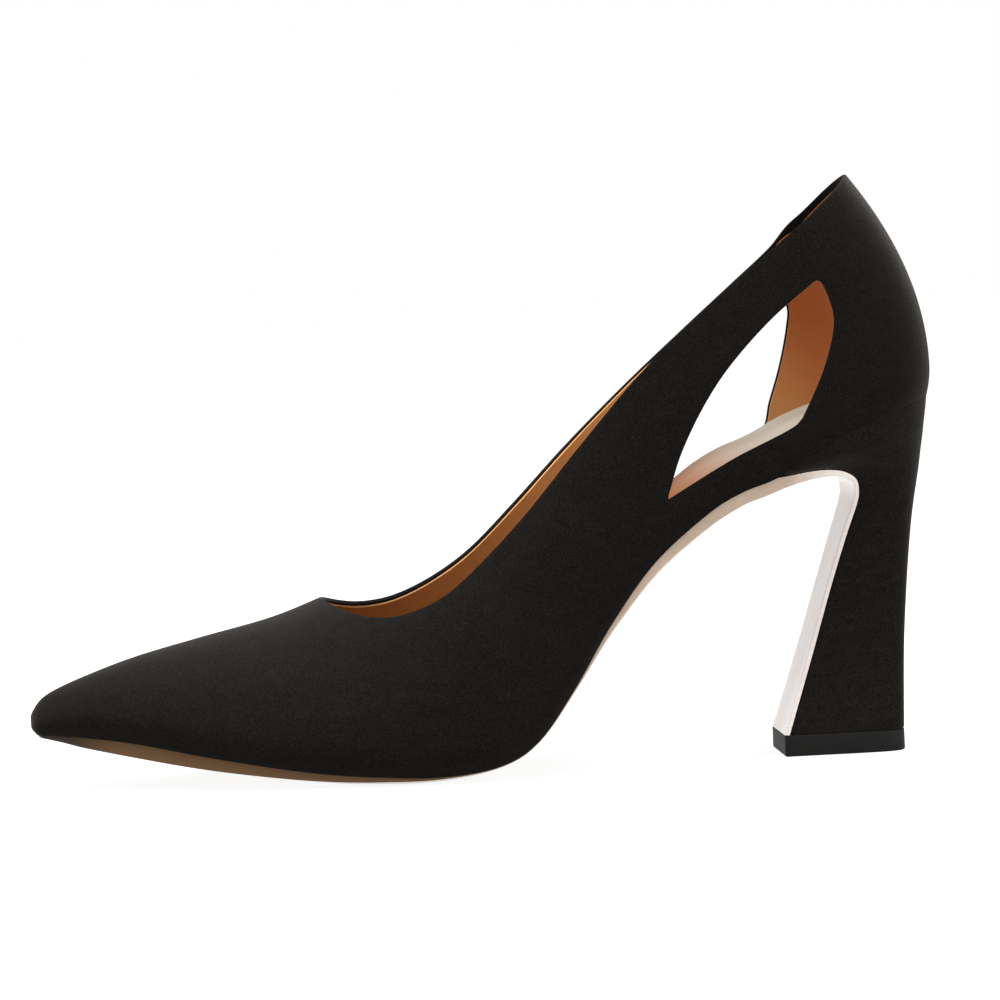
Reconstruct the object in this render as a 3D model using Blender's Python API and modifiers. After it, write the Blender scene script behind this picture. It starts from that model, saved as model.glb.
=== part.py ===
"""Left high-heel pump with a pointed toe and a cut-out in each quarter.

The toe points to -X, the heel to +X, the outer side of the foot is -Y and the floor is Z = 0.
Sizes are in millimetres until a mesh is made, and the meshes are in metres.
"""
import math
from collections import namedtuple

import bmesh
import bpy

MM = 0.001
HALVINGS = 40
PLAN_STEP = 0.004

# Driving dimensions, in millimetres
LENGTH = 234.0
BALL_WIDTH = 77.0
SEAT_HEIGHT = 90.2
INSTEP_HEIGHT = 45.3
NOSE_LENGTH = 3.2
NOSE_HEIGHT = 18.4
NOSE_TUCK = 1.2
BACK_BULGE_HEIGHT = 97.0
BACK_CURVE = 130.0
WALL = 1.6
FIT = 0.3
TUCK = 2.4
TUCK_HEIGHT = 7.5
TUCK_OF_RISE = 0.5
TUCK_OF_HALF = 0.28
BACK_TUCK = 1.0
HEEL_FLUSH = 0.7
TOP_PIECE_HEIGHT = 5.5
TOP_PIECE_BEVEL = 0.5

# Sections of the last from toe to back. along: share of the length, width: share of the ball width,
# axis: middle of the section, plus towards the inner side, rise: height of the outer lower edge as a
# share of the seat height, arch: how much higher the inner lower edge is, crown: height of the ridge
# as a share of the instep height, lean: share of the back curve that the section follows
Section = namedtuple("Section", "name along width axis rise arch crown lean")
SECTIONS = (
    Section("toe tip", 0.000, 0.000, 4.0, 0.158, 0.0, 0.455, 0.0),
    Section("toe round", 0.006, 0.120, 4.0, 0.156, 0.0, 0.484, 0.0),
    Section("toe point", 0.024, 0.223, 4.0, 0.154, 0.0, 0.547, 0.0),
    Section("toe box", 0.058, 0.353, 3.8, 0.150, 0.0, 0.620, 0.0),
    Section("toes", 0.115, 0.525, 3.2, 0.132, 0.0, 0.719, 0.0),
    Section("vamp front", 0.188, 0.717, 2.4, 0.095, 0.0, 0.813, 0.0),
    Section("vamp", 0.265, 0.873, 1.4, 0.060, 0.0, 0.906, 0.0),
    Section("throat", 0.321, 0.961, 0.6, 0.0405, 0.0, 1.008, 0.0),
    Section("ball", 0.372, 1.000, 0.0, 0.029, 0.0, 1.115, 0.0),
    Section("behind ball", 0.436, 0.982, -0.8, 0.021, 0.0, 1.325, 0.0),
    Section("waist start", 0.500, 0.920, -1.4, 0.040, 0.0, 1.645, 0.0),
    Section("waist rise", 0.543, 0.857, -1.4, 0.100, 0.3, 1.930, 0.0),
    Section("waist steep", 0.585, 0.795, -1.2, 0.238, 0.7, 2.285, 0.0),
    Section("waist", 0.628, 0.743, -0.8, 0.410, 1.0, 2.660, 0.1),
    Section("arch", 0.679, 0.696, -0.2, 0.576, 1.6, 3.060, 0.25),
    Section("arch top", 0.739, 0.665, 0.2, 0.7035, 2.8, 3.455, 0.45),
    Section("shank end", 0.776, 0.660, 0.2, 0.7575, 3.6, 3.625, 0.585),
    Section("seat front", 0.808, 0.660, 0.2, 0.786, 4.0, 3.750, 0.7),
    Section("seat start", 0.826, 0.664, 0.2, 0.808, 3.9, 3.815, 0.755),
    Section("seat", 0.859, 0.675, 0.0, 0.862, 3.0, 3.910, 0.85),
    Section("heel", 0.906, 0.665, 0.0, 0.922, 1.4, 3.970, 1.0),
    Section("heel round", 0.944, 0.587, 0.0, 0.960, 0.5, 3.970, 1.0),
    Section("heel corner", 0.972, 0.457, 0.0, 0.982, 0.0, 3.970, 1.0),
    Section("heel back", 0.991, 0.262, 0.0, 0.996, 0.0, 3.970, 1.0),
    Section("back seam", 1.000, 0.000, 0.0, 1.000, 0.0, 3.970, 1.0),
)

# Mesh of the upper: row of the throat, points between rows and up the wall, and the thinner toe tip
THROAT = 7
STEPS_PER_SECTION = 3
THROAT_STEPS = (0.06, 0.16)
THROAT_POWER = 4.0
THROAT_EASE = 0.8
SMALL_TURN = 0.001
THIN_TOE = 1.7
TOE_WALL = 0.3
WALL_STEPS = (0.0, 0.04, 0.09, 0.16, 0.26, 0.38, 0.50, 0.62, 0.74, 0.87, 1.0)

# Height of the collar on each side, from the throat to the back
Collar = namedtuple("Collar", "x outer inner")
COLLAR = (
    Collar(-41.9, 45.7, 45.7),
    Collar(-36.0, 43.1, 43.6),
    Collar(-30.0, 41.7, 42.8),
    Collar(-22.0, 42.2, 43.9),
    Collar(-12.0, 46.2, 48.2),
    Collar(-2.0, 54.2, 54.9),
    Collar(10.0, 66.0, 66.4),
    Collar(24.0, 82.0, 80.4),
    Collar(40.0, 99.3, 95.2),
    Collar(56.0, 113.8, 109.1),
    Collar(70.0, 125.4, 121.0),
    Collar(80.0, 133.3, 129.6),
    Collar(84.5, 136.9, 134.9),
    Collar(89.0, 140.7, 138.9),
    Collar(97.2, 147.4, 147.4),
)

# Outline of each cut-out in side view, from its front point over the top to the lower rear corner
CutPoint = namedtuple("CutPoint", "name outer_x outer_z inner_x inner_z")
CUT_OUT = (
    CutPoint("front point", 45.4, 67.6, 45.4, 65.6),
    CutPoint("front edge", 50.2, 80.4, 50.2, 80.4),
    CutPoint("upper edge", 60.2, 97.0, 59.2, 95.6),
    CutPoint("top edge", 74.0, 111.8, 71.0, 108.4),
    CutPoint("top front", 82.8, 118.9, 78.8, 115.0),
    CutPoint("top", 86.3, 121.1, 82.1, 117.6),
    CutPoint("top rear", 88.7, 116.2, 84.1, 113.4),
    CutPoint("rear", 89.6, 110.6, 83.7, 108.6),
    CutPoint("rear edge", 86.8, 99.6, 81.5, 98.6),
    CutPoint("lower rear", 81.4, 88.3, 78.4, 89.0),
    CutPoint("lower corner", 79.6, 85.5, 76.2, 82.0),
    CutPoint("lower edge", 62.4, 77.0, 61.4, 74.8),
)
CUT_STEPS = 4
CUT_FROM_MIDDLE = 5.0

# Thickness of the outsole below the upper's lower edge, at its rim and added at its middle
SolePlan = namedtuple("SolePlan", "along rim camber")
SOLE = (
    SolePlan(0.000, 0.3, 0.1),
    SolePlan(0.030, 1.5, 0.2),
    SolePlan(0.058, 2.7, 0.3),
    SolePlan(0.115, 3.6, 0.5),
    SolePlan(0.188, 3.3, 0.6),
    SolePlan(0.265, 2.5, 0.8),
    SolePlan(0.372, 1.4, 1.8),
    SolePlan(0.450, 0.6, 1.8),
    SolePlan(0.520, 0.3, 1.2),
    SolePlan(0.585, 0.5, 1.2),
    SolePlan(0.628, 1.4, 1.4),
    SolePlan(0.679, 2.4, 1.6),
    SolePlan(0.740, 3.0, 1.2),
    SolePlan(0.790, 3.2, 0.2),
)
SOLE_START = 0.012
SOLE_END = 0.772
SOLE_INSIDE = 0.8
SOLE_ACROSS = 8
SOLE_RINGS = 44

# Heel from the seat down. The front line is where the sole runs down, the back line is the back seam,
# flap is the thickness of the sole there and arch is how much higher the inner end of the front is
HeelRing = namedtuple(
    "HeelRing", "name front_x front_z back_x back_z front_half back_half square flap arch")
HEEL = (
    HeelRing("lip", 76.5, 72.3, 115.5, 87.4, 23.0, 24.6, 2.0, 2.7, 3.8),
    HeelRing("under lip", 82.5, 73.1, 114.9, 84.2, 21.4, 23.2, 2.1, 2.1, 2.8),
    HeelRing("corner start", 87.6, 73.2, 114.3, 80.6, 19.3, 21.3, 2.2, 1.7, 1.7),
    HeelRing("corner", 92.0, 72.4, 113.5, 76.6, 17.2, 19.2, 2.4, 1.4, 0.8),
    HeelRing("corner end", 95.2, 70.2, 112.8, 72.6, 15.3, 17.2, 2.6, 1.2, 0.2),
    HeelRing("neck top", 96.0, 66.6, 112.0, 68.4, 13.8, 15.6, 2.8, 1.2, 0.0),
    HeelRing("neck", 95.3, 63.0, 111.1, 63.6, 12.8, 14.2, 3.0, 1.2, 0.0),
    HeelRing("stem top", 92.6, 55.5, 109.9, 55.5, 11.6, 12.4, 3.4, 1.2, 0.0),
    HeelRing("stem", 88.0, 42.0, 108.4, 42.0, 11.0, 11.3, 4.0, 1.2, 0.0),
    HeelRing("flare", 82.8, 26.0, 107.0, 26.0, 11.6, 11.7, 4.6, 1.2, 0.0),
    HeelRing("foot", 75.8, 5.8, 106.0, 5.8, 13.2, 13.2, 5.2, 1.2, 0.0),
)
HEEL_SIDE = (0.0, 0.14, 0.28, 0.42, 0.55, 0.67, 0.78, 0.87, 0.935, 0.98)
HEEL_FRONT_STEPS = 6
HEEL_RING_STEPS = 2
SEAT_FRONT = 0.822
ROUND_FROM = 0.35

# Insole above the upper's lower edge
InsolePlan = namedtuple("InsolePlan", "along base thick cup")
INSOLE = (
    InsolePlan(0.020, 1.4, 1.6, 0.2),
    InsolePlan(0.320, 1.4, 2.2, 0.4),
    InsolePlan(0.560, 1.4, 3.0, 0.6),
    InsolePlan(0.680, 1.4, 3.8, 0.8),
    InsolePlan(0.780, 1.2, 4.2, 1.0),
    InsolePlan(0.880, 0.4, 4.8, 1.2),
    InsolePlan(1.000, 0.2, 5.0, 1.4),
)
INSOLE_START = 0.035
INSOLE_END = 0.974
INSOLE_ACROSS = 6
INSOLE_RINGS = 36
INSOLE_CLEAR = 0.6


def catmull(a, b, c, d, t):
    """Point at t on the smooth curve from b to c, with a before it and d after it."""
    return b + 0.5 * t * (c - a + t * (2 * a - 5 * b + 4 * c - d + t * (3 * (b - c) + d - a)))


def gentle(a, b, c, d, t):
    """Point at t on a curve from b to c that keeps close to points at uneven distances."""
    ab, bc, cd = [math.sqrt(math.dist(*ends)) for ends in ((a, b), (b, c), (c, d))]
    point = []
    for p, q, r, s in zip(a, b, c, d):
        start = end = r - q
        if ab:
            start += bc * ((q - p) / ab - (r - p) / (ab + bc))
        if cd:
            end += bc * ((s - r) / cd - (s - q) / (bc + cd))
        point.append(q * (1 + 2 * t) * (1 - t) ** 2 + r * t * t * (3 - 2 * t)
                     + t * (1 - t) * (start * (1 - t) - end * t))
    return point


def table_at(rows, x, key, column):
    """Smooth value of a table's column at x, where key is the column that holds x."""
    xs = [getattr(row, key) for row in rows]
    ys = [getattr(row, column) for row in rows]
    x = min(max(x, xs[0]), xs[-1])
    i = max(k for k in range(len(xs) - 1) if xs[k] <= x)
    slopes = []
    for k in (i, i + 1):
        low, high = max(k - 1, 0), min(k + 1, len(xs) - 1)
        slopes.append((ys[high] - ys[low]) / (xs[high] - xs[low]))
    span = xs[i + 1] - xs[i]
    t = (x - xs[i]) / span
    return (ys[i] * (1 + 2 * t) * (1 - t) ** 2 + ys[i + 1] * t * t * (3 - 2 * t)
            + span * t * (1 - t) * (slopes[0] * (1 - t) - slopes[1] * t))


class Last:
    """The last at one place along the shoe, worked out between two rows of the section table."""

    def __init__(self, place):
        i = min(int(place), len(SECTIONS) - 2)
        t = place - i
        near = [SECTIONS[min(abs(k), 2 * len(SECTIONS) - 2 - abs(k))] for k in range(i - 1, i + 3)]
        mirrored = [-1.0 if k < 0 or k >= len(SECTIONS) else 1.0 for k in range(i - 1, i + 3)]

        def column(name, signs=(1.0, 1.0, 1.0, 1.0)):
            return catmull(*[getattr(row, name) * sign for row, sign in zip(near, signs)], t)

        self.x = LENGTH * (column("along") - 0.5)
        self.half = max(0.0, BALL_WIDTH / 2 * column("width", mirrored))
        self.axis = column("axis")
        self.rim_outer = SEAT_HEIGHT * column("rise")
        self.arch = column("arch")
        self.nose = max(0.0, 1 - (self.x + LENGTH / 2) / NOSE_LENGTH)
        crown = INSTEP_HEIGHT * column("crown")
        self.top = NOSE_HEIGHT + (crown - NOSE_HEIGHT) * math.sqrt(1 - self.nose ** 2)
        self.lean = column("lean")
        self.along = column("along")

    def rim(self, side):
        """Height of the wall's lower edge, side -1 for outer and 1 for inner."""
        return self.rim_outer + (self.arch if side > 0 else 0.0)

    def wall(self, side, turn):
        """Point of the outer surface, from turn 0 at the lower edge to a quarter turn at the ridge."""
        rim = self.rim(side)
        rise = self.top - rim
        z = rim + rise * math.sin(turn)
        low = max(0.0, 1.0 - (z - rim) / min(TUCK_HEIGHT, TUCK_OF_RISE * rise)) ** 2
        tuck = min(TUCK * (1 - HEEL_FLUSH * self.lean), TUCK_OF_HALF * self.half)
        y = self.half * math.cos(turn) - tuck * low
        x = self.x - self.lean * max(0.0, z - BACK_BULGE_HEIGHT) ** 2 / BACK_CURVE
        x += (NOSE_TUCK * self.nose ** 2 - BACK_TUCK * self.lean ** 4) * low
        return x, self.axis + side * y, z

    def collar_turn(self, side):
        """Turn at which the wall meets the collar, or a quarter turn where the vamp is closed."""
        column = "inner" if side > 0 else "outer"
        if self.x <= COLLAR[0].x:
            return math.pi / 2
        low, high = 0.0, math.pi / 2
        for _ in range(HALVINGS):
            turn = (low + high) / 2
            x, _, z = self.wall(side, turn)
            if z < table_at(COLLAR, x, "x", column):
                low = turn
            else:
                high = turn
        return low

    def skin(self, side, height):
        """Place along the shoe and half width of the outer surface at a height above its lower edge."""
        rise = self.top - self.rim(side)
        x, y, _ = self.wall(side, math.asin(min(1.0, max(0.0, height) / rise)))
        return x, abs(y - self.axis)


def wall_turns(end):
    """Turns of a section's points up to its end, which near the throat are drawn in only at the top."""
    quarter = math.pi / 2
    short = max(quarter - end, SMALL_TURN)
    power = max(1.0, min(THROAT_POWER, THROAT_EASE * quarter / short))
    return [quarter * step - (quarter - end) * step ** power for step in WALL_STEPS]


def places():
    """Places of the upper's sections, closer together just behind the throat."""
    count = (len(SECTIONS) - 1) * STEPS_PER_SECTION
    even = [k / STEPS_PER_SECTION for k in range(count + 1)]
    return sorted(even + [THROAT + step for step in THROAT_STEPS])


def place_along(share):
    """Place in the section table at a share of the length."""
    low, high = 0.0, len(SECTIONS) - 1.0
    for _ in range(HALVINGS):
        middle = (low + high) / 2
        if Last(middle).along < share:
            low = middle
        else:
            high = middle
    return low


def inner_half(share, side, height, clear):
    """Clear half width inside the wall, measured square to the plan outline at a share of the length."""
    skins = [Last(place_along(share + step)).skin(side, height) for step in (-PLAN_STEP, 0.0, PLAN_STEP)]
    turn_in = (skins[2][1] - skins[0][1]) / (skins[2][0] - skins[0][0])
    return skins[1][1] - (WALL + clear) * math.hypot(1.0, turn_in)


def material(name, colour, roughness):
    made = bpy.data.materials.new(name)
    made.use_nodes = True
    shader = made.node_tree.nodes["Principled BSDF"]
    shader.inputs["Base Color"].default_value = (*colour, 1.0)
    shader.inputs["Roughness"].default_value = roughness
    return made


def add_object(name, collection, verts, faces, finish=None):
    """Mesh object from points in millimetres."""
    mesh = bpy.data.meshes.new(name)
    mesh.from_pydata([[c * MM for c in v] for v in verts], [], faces)
    mesh.validate()
    mesh.shade_smooth()
    if finish:
        mesh.materials.append(finish)
    made = bpy.data.objects.new(name, mesh)
    collection.objects.link(made)
    return made


def loft(name, collection, rings, finish):
    """Closed solid through rings of equally many points, with its two ends filled."""
    count = len(rings[0])
    verts = [point for ring in rings for point in ring]
    faces = [list(range(count)), list(range(len(verts) - count, len(verts)))]
    for r in range(len(rings) - 1):
        for k in range(count):
            n = (k + 1) % count
            faces.append([r * count + k, (r + 1) * count + k, (r + 1) * count + n, r * count + n])
    made = add_object(name, collection, verts, faces, finish)
    work = bmesh.new()
    work.from_mesh(made.data)
    bmesh.ops.recalc_face_normals(work, faces=work.faces)
    bmesh.ops.triangulate(work, faces=[f for f in work.faces if len(f.verts) > 4])
    work.to_mesh(made.data)
    work.free()
    return made


def make_upper(collection, cutters, finish):
    """Outer skin of the upper as one open sheet, given its wall by Solidify and cut at the quarters."""
    stations = [(place, Last(place)) for place in places()]
    last_step = len(WALL_STEPS) - 1
    verts, faces, index = [], [], {}
    for i, (place, last) in enumerate(stations):
        for side in (-1, 1):
            end = last.collar_turn(side)
            for j, turn in enumerate(wall_turns(end)):
                seam = i in (0, len(stations) - 1) or (j == last_step and place <= THROAT)
                if seam and side > 0:
                    index[i, side, j] = index[i, -1, j]
                    continue
                index[i, side, j] = len(verts)
                verts.append(last.wall(side, turn))
    for i in range(len(stations) - 1):
        for side in (-1, 1):
            for j in range(last_step):
                corners = [index[i, side, j], index[i + 1, side, j],
                           index[i + 1, side, j + 1], index[i, side, j + 1]]
                faces.append(corners if side < 0 else corners[::-1])
    upper = add_object("upper", collection, verts, faces, finish)
    full = upper.vertex_groups.new(name="full wall")
    for (i, _, _), vertex in index.items():
        full.add([vertex], min(1.0, stations[i][0] / THIN_TOE), "REPLACE")
    shell = upper.modifiers.new("wall", "SOLIDIFY")
    shell.thickness = WALL * MM
    shell.offset = -1.0
    shell.vertex_group = full.name
    shell.thickness_vertex_group = TOE_WALL
    for side, name in ((-1, "outer"), (1, "inner")):
        cut = upper.modifiers.new(f"{name} cut-out", "BOOLEAN")
        cut.operation = "DIFFERENCE"
        cut.solver = "EXACT"
        cut.object = make_cutter(f"{name}_cut_out", cutters, side)
    return upper


def cut_outline(side):
    """Cut-out outline in side view: a smooth curve from the front point round to its lower edge."""
    word = "inner" if side > 0 else "outer"
    points = [(getattr(row, word + "_x"), getattr(row, word + "_z")) for row in CUT_OUT]
    count = len(points)
    outline = []
    for i in range(count):
        ends = points[max(i - 1, 0)], points[i], points[(i + 1) % count], points[min(i + 2, count) % count]
        outline += [gentle(*ends, k / CUT_STEPS) for k in range(CUT_STEPS)]
    return outline


def make_cutter(name, collection, side):
    """Prism through one quarter, wide enough to pass both faces of the wall."""
    near, far = side * CUT_FROM_MIDDLE, side * BALL_WIDTH / 2
    outline = cut_outline(side)
    rings = [[(x, y, z) for x, z in outline] for y in (near, far)]
    cutter = loft(name, collection, rings, None)
    cutter.hide_render = True
    cutter.display_type = "WIRE"
    return cutter


def deck(share):
    """Last, rim slope as a unit vector and its upward normal at a share of the length."""
    here = Last(place_along(share))
    before, after = Last(place_along(share - PLAN_STEP)), Last(place_along(share + PLAN_STEP))
    run, climb = after.x - before.x, after.rim_outer - before.rim_outer
    size = math.hypot(run, climb)
    return here, (-climb / size, run / size)


def deck_point(last, normal, across, half_outer, half_inner, height):
    """Point over the shoe's open bottom, across from -1 at the outer edge to 1 at the inner edge."""
    y = last.axis + (half_inner if across > 0 else half_outer) * across
    base = last.rim_outer + last.arch * (across + 1) / 2
    x = last.skin(1 if across > 0 else -1, height)[0]
    return [x + normal[0] * height, y, base + normal[1] * height]


def spread(first, end, count):
    """Shares from first to end, closer together at both ends."""
    return [first + (end - first) * (1 - math.cos(math.pi * k / count)) / 2 for k in range(count + 1)]


def make_insole(collection, finish):
    rings = []
    for share in spread(INSOLE_START, INSOLE_END, INSOLE_RINGS):
        last, normal = deck(share)
        base = table_at(INSOLE, share, "along", "base")
        thick = table_at(INSOLE, share, "along", "thick")
        cup = table_at(INSOLE, share, "along", "cup")
        low = [inner_half(share, side, base, INSOLE_CLEAR) for side in (-1, 1)]
        high = [inner_half(share, side, base + thick, INSOLE_CLEAR) for side in (-1, 1)]
        ring = []
        for k in range(INSOLE_ACROSS + 1):
            across = 2 * k / INSOLE_ACROSS - 1
            ring.append(deck_point(last, normal, across, *low, base))
        for k in range(INSOLE_ACROSS, -1, -1):
            across = 2 * k / INSOLE_ACROSS - 1
            ring.append(deck_point(last, normal, across, *high, base + thick + cup * across ** 2))
        rings.append(ring)
    return loft("insole", collection, rings, finish)


def heel_ring(row):
    """Closed ring of the heel: the straight front, then the two sides rounded towards the back."""
    sides = {}
    for side in (-1, 1):
        points = []
        for f in HEEL_SIDE:
            half = row.front_half + (row.back_half - row.front_half) * min(1.0, f / ROUND_FROM)
            past = max(0.0, f - ROUND_FROM) / (1 - ROUND_FROM)
            half *= (1 - past ** row.square) ** (1 / row.square)
            arch = row.arch * (1 - f) if side > 0 else 0.0
            points.append([row.front_x + (row.back_x - row.front_x) * f, side * half,
                           row.front_z + (row.back_z - row.front_z) * f + arch])
        sides[side] = points
    front = []
    for k in range(1, HEEL_FRONT_STEPS):
        across = 1 - 2 * k / HEEL_FRONT_STEPS
        front.append([row.front_x, row.front_half * across, row.front_z + row.arch * (across + 1) / 2])
    return sides[-1] + [[row.back_x, 0.0, row.back_z]] + sides[1][::-1] + front


def seat_ring():
    """Ring of the heel's top, along the upper's lower edge."""
    sides = {}
    for side in (-1, 1):
        points = []
        for f in HEEL_SIDE + (1.0,):
            last = Last(place_along(SEAT_FRONT + (1.0 - SEAT_FRONT) * f))
            x, y, z = last.wall(side, 0.0)
            points.append([x, y, z - FIT])
        sides[side] = points
    outer, inner = sides[-1][0], sides[1][0]
    front = []
    for k in range(1, HEEL_FRONT_STEPS):
        t = k / HEEL_FRONT_STEPS
        front.append([inner[n] + (outer[n] - inner[n]) * t for n in range(3)])
    return sides[-1] + sides[1][-2::-1] + front


def smooth_rows(rows, steps):
    """Rows of a table with smooth rows put between them."""
    made = []
    for i in range(len(rows) - 1):
        near = [rows[min(max(k, 0), len(rows) - 1)] for k in range(i - 1, i + 3)]
        for s in range(steps):
            values = [catmull(*column, s / steps) for column in list(zip(*near))[1:]]
            made.append(type(rows[0])(rows[i].name, *values))
    return made + [rows[-1]]


def make_heel(collection, finish):
    rows = smooth_rows(HEEL, HEEL_RING_STEPS)
    return loft("heel", collection, [seat_ring()] + [heel_ring(row) for row in rows], finish)


def make_top_piece(collection, finish):
    foot = HEEL[-1]
    sole_front = foot.front_x - FIT - foot.flap
    upper_row = foot._replace(front_x=sole_front, front_z=TOP_PIECE_HEIGHT, back_z=TOP_PIECE_HEIGHT)
    rings = []
    for z, inset in ((TOP_PIECE_HEIGHT, 0.0), (TOP_PIECE_BEVEL, 0.0), (0.0, TOP_PIECE_BEVEL)):
        row = upper_row._replace(
            front_x=upper_row.front_x + inset, back_x=upper_row.back_x - inset, front_z=z, back_z=z,
            front_half=upper_row.front_half - inset, back_half=upper_row.back_half - inset)
        rings.append(heel_ring(row))
    return loft("heel_top_piece", collection, rings, finish)


def sole_ring(share):
    """Ring of the outsole where it closes the upper: flat above, rounded below, flat at the floor."""
    last, normal = deck(share)
    rim = table_at(SOLE, share, "along", "rim")
    camber = table_at(SOLE, share, "along", "camber")
    half = [inner_half(share, side, 0.0, FIT) for side in (-1, 1)]
    ring = []
    for k in range(SOLE_ACROSS + 1):
        across = 2 * k / SOLE_ACROSS - 1
        point = deck_point(last, normal, across, *half, -rim - camber * (1 - across ** 4))
        point[2] = max(0.0, point[2])
        ring.append(point)
    for k in range(SOLE_ACROSS, -1, -1):
        across = 2 * k / SOLE_ACROSS - 1
        ring.append(deck_point(last, normal, across, *half, SOLE_INSIDE))
    return ring


def make_outsole(collection, finish):
    rings = [sole_ring(share) for share in spread(SOLE_START, SOLE_END, SOLE_RINGS)]
    rows = smooth_rows(HEEL, HEEL_RING_STEPS)
    for i, row in enumerate(rows):
        before, after = rows[max(i - 1, 0)], rows[min(i + 1, len(rows) - 1)]
        run, fall = after.front_x - before.front_x, after.front_z - before.front_z
        size = math.hypot(run, fall)
        # The lower end is cut level with the top piece
        normal = (-fall / size, run / size) if row is not rows[-1] else (1.0, 0.0)
        ring = []
        for depth, order in ((-FIT - row.flap, 1), (-FIT, -1)):
            for k in range(SOLE_ACROSS + 1)[::order]:
                across = 2 * k / SOLE_ACROSS - 1
                ring.append([row.front_x + normal[0] * depth, row.front_half * across,
                             row.front_z + row.arch * (across + 1) / 2 + normal[1] * depth])
        rings.append(ring)
    return loft("outsole", collection, rings, finish)


def main():
    for old in list(bpy.data.objects):
        bpy.data.objects.remove(old, do_unlink=True)
    shoe = bpy.data.collections.new("high_heel")
    cutters = bpy.data.collections.new("cutters")
    for collection in (shoe, cutters):
        bpy.context.scene.collection.children.link(collection)
    make_upper(shoe, cutters, material("black suede", (0.016, 0.014, 0.013), 0.95))
    make_insole(shoe, material("sock leather", (0.52, 0.31, 0.17), 0.5))
    make_outsole(shoe, material("sole leather", (0.50, 0.41, 0.30), 0.55))
    make_heel(shoe, material("heel suede", (0.016, 0.014, 0.013), 0.95))
    make_top_piece(shoe, material("top piece rubber", (0.02, 0.02, 0.02), 0.7))


main()
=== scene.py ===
import math
from collections import namedtuple

import bmesh
import bpy
import numpy as np
from bpy.props import FloatProperty, FloatVectorProperty, IntProperty, PointerProperty
from mathutils import Matrix, Vector


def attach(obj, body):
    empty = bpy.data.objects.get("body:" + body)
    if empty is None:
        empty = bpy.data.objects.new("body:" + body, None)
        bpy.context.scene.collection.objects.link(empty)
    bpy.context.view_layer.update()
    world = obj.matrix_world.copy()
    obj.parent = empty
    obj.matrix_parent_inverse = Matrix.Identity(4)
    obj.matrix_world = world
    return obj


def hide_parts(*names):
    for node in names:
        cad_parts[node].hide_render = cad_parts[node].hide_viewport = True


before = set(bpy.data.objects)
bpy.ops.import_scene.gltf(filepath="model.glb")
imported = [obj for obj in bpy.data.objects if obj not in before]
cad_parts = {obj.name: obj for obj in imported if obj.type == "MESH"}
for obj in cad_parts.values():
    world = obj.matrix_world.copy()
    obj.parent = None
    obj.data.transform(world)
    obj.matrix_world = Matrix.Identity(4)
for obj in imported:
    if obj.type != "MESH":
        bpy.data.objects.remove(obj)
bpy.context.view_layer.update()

bl_info = {
    "name": "Cut-out High Heel",
    "version": (1, 0, 0),
    "blender": (4, 5, 0),
    "location": "3D View > Sidebar > High Heel",
    "description": "Makes the suede, leather and rubber pieces of a cut-out high heel around its solids",
    "category": "Object",
}

# The toe points to -X, the outer side of the left foot is -Y and the floor is Z = 0.
# Tables are in millimetres or in shares of the driving sizes, and meshes are in metres.
MM = 0.001

# Sections of the last from toe to back. along: share of the length, width: share of the ball width,
# axis: middle of the section, plus towards the inner side, rise: height of the outer lower edge as a
# share of the seat height, arch: how much higher the inner lower edge is, crown: height of the ridge
# as a share of the instep height, lean: share of the back curve that the section follows
Section = namedtuple("Section", "name along width axis rise arch crown lean")
SECTIONS = (
    Section("toe tip", 0.000, 0.000, 4.0, 0.158, 0.0, 0.455, 0.0),
    Section("toe round", 0.006, 0.120, 4.0, 0.156, 0.0, 0.484, 0.0),
    Section("toe point", 0.024, 0.223, 4.0, 0.154, 0.0, 0.547, 0.0),
    Section("toe box", 0.058, 0.353, 3.8, 0.150, 0.0, 0.620, 0.0),
    Section("toes", 0.115, 0.525, 3.2, 0.132, 0.0, 0.719, 0.0),
    Section("vamp front", 0.188, 0.717, 2.4, 0.095, 0.0, 0.813, 0.0),
    Section("vamp", 0.265, 0.873, 1.4, 0.060, 0.0, 0.906, 0.0),
    Section("throat", 0.321, 0.961, 0.6, 0.0405, 0.0, 1.008, 0.0),
    Section("ball", 0.372, 1.000, 0.0, 0.029, 0.0, 1.115, 0.0),
    Section("behind ball", 0.436, 0.982, -0.8, 0.021, 0.0, 1.325, 0.0),
    Section("waist start", 0.500, 0.920, -1.4, 0.040, 0.0, 1.645, 0.0),
    Section("waist rise", 0.543, 0.857, -1.4, 0.100, 0.3, 1.930, 0.0),
    Section("waist steep", 0.585, 0.795, -1.2, 0.238, 0.7, 2.285, 0.0),
    Section("waist", 0.628, 0.743, -0.8, 0.410, 1.0, 2.660, 0.1),
    Section("arch", 0.679, 0.696, -0.2, 0.576, 1.6, 3.060, 0.25),
    Section("arch top", 0.739, 0.665, 0.2, 0.7035, 2.8, 3.455, 0.45),
    Section("shank end", 0.776, 0.660, 0.2, 0.7575, 3.6, 3.625, 0.585),
    Section("seat front", 0.808, 0.660, 0.2, 0.786, 4.0, 3.750, 0.7),
    Section("seat start", 0.826, 0.664, 0.2, 0.808, 3.9, 3.815, 0.755),
    Section("seat", 0.859, 0.675, 0.0, 0.862, 3.0, 3.910, 0.85),
    Section("heel", 0.906, 0.665, 0.0, 0.922, 1.4, 3.970, 1.0),
    Section("heel round", 0.944, 0.587, 0.0, 0.960, 0.5, 3.970, 1.0),
    Section("heel corner", 0.972, 0.457, 0.0, 0.982, 0.0, 3.970, 1.0),
    Section("heel back", 0.991, 0.262, 0.0, 0.996, 0.0, 3.970, 1.0),
    Section("back seam", 1.000, 0.000, 0.0, 1.000, 0.0, 3.970, 1.0),
)
LAST_PLACE = len(SECTIONS) - 1
THROAT = 7
QUARTER = math.pi / 2

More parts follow.
